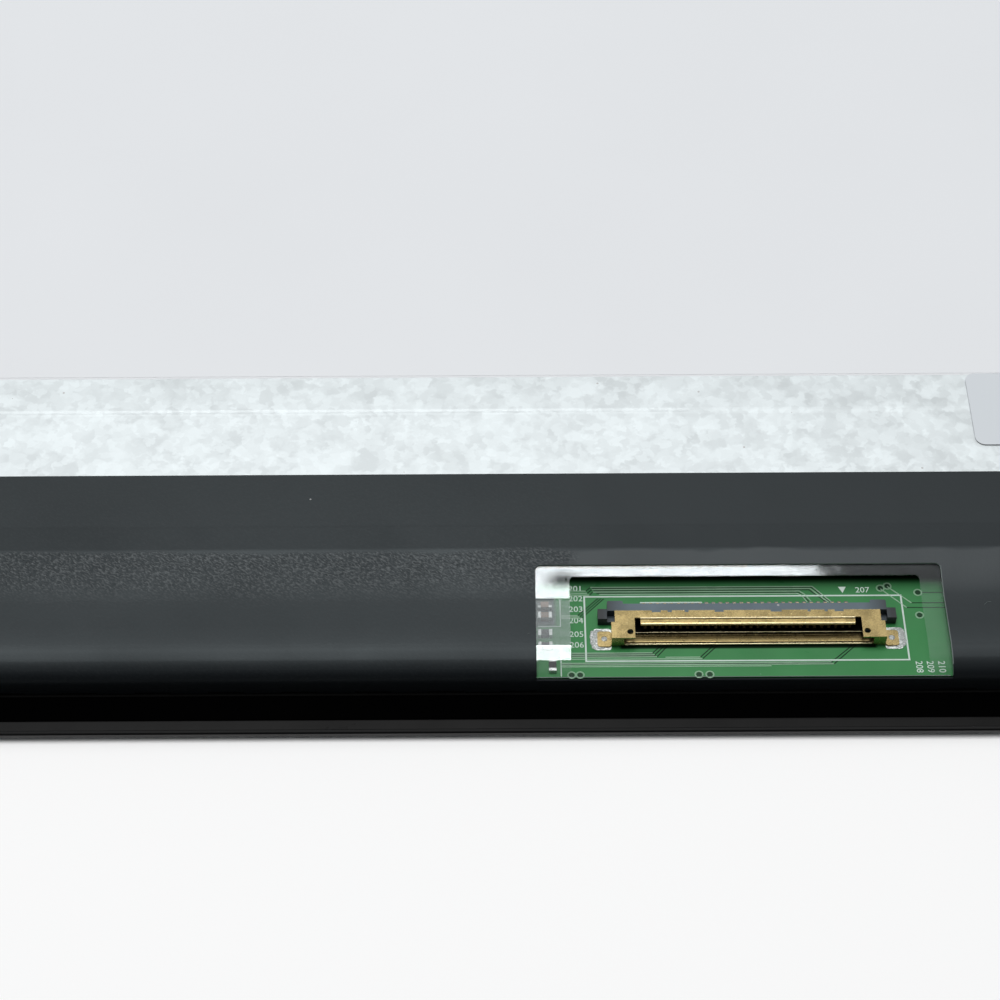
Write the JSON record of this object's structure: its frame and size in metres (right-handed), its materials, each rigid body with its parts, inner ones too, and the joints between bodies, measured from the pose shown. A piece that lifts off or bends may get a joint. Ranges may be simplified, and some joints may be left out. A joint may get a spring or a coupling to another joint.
{
  "type": "laptop touchscreen assembly",
  "caption": "Thin display module bonded on a black-bordered cover glass, with a steel back and a windowed film over its board and connector.",
  "frame": {"origin": "centre of the assembly's outline on the outer face of the cover glass, on which it lies", "axes": "+X along the long side, +Y from the connector edge towards the opposite edge, +Z out of the rear"},
  "size_m": [0.3272, 0.202, 0.0037],
  "materials": {
    "clear_glass": "clear, polished",
    "cell_glass": "dark, with thin film layers",
    "clear_film": "clear film, glossy",
    "border_black": "black ink, glossy",
    "polarizer": "dark film, smooth",
    "frame_black": "moulded, matt",
    "tape_black": "foam and tape, matt",
    "sheet_white": "white film, satin",
    "sheet_haze": "hazy film, satin",
    "guide_clear": "clear, polished",
    "steel": "galvanised, with spangle",
    "film_black": "black film, fine grain",
    "label_pale": "pale grey, smooth",
    "board_green": "green solder mask, semi gloss",
    "print_white": "white print",
    "solder": "tinned, bright",
    "gold_shell": "thin gold plate, fine speckle",
    "contact_gold": "gold plate, bright",
    "housing_grey": "moulded, matt",
    "flex_amber": "amber film with copper",
    "ceramic_tan": "fired ceramic",
    "chip_black": "moulded resin, matt",
    "led_white": "white body, yellow lens"
  },
  "bodies": {
    "root": {"cover_glass": "clear_glass", "border_print": "border_black", "border_tape": "tape_black", "touch_sensor": "clear_film", "optical_adhesive": "clear_film", "front_polarizer": "polarizer", "color_filter_glass": "cell_glass", "array_glass": "cell_glass", "rear_polarizer": "polarizer", "driver_chips": "chip_black", "source_flexes": "flex_amber", "cell_tape": "tape_black", "mould_frame": "frame_black", "frame_gasket": "tape_black", "upper_prism_sheet": "sheet_haze", "lower_prism_sheet": "sheet_haze", "diffuser_sheet": "sheet_haze", "light_guide": "guide_clear", "reflector_sheet": "sheet_white", "led_flex": "flex_amber", "leds": "led_white", "rear_plate": "steel", "back_sheet": "sheet_white", "blank_label": "label_pale", "board_pad": "tape_black", "touch_flex": "flex_amber", "control_board": "board_green", "board_print": "print_white", "solder_lands": "solder", "connector_housing": "housing_grey", "connector_contacts": "contact_gold", "connector_shell": "gold_shell", "capacitors": "ceramic_tan", "resistors": "chip_black", "chip_ends": "solder", "timing_controller": "chip_black", "power_chip": "chip_black", "touch_controller": "chip_black", "power_coil": "chip_black", "cover_film": "film_black", "window_film": "clear_film"}
  },
  "joints": []
}
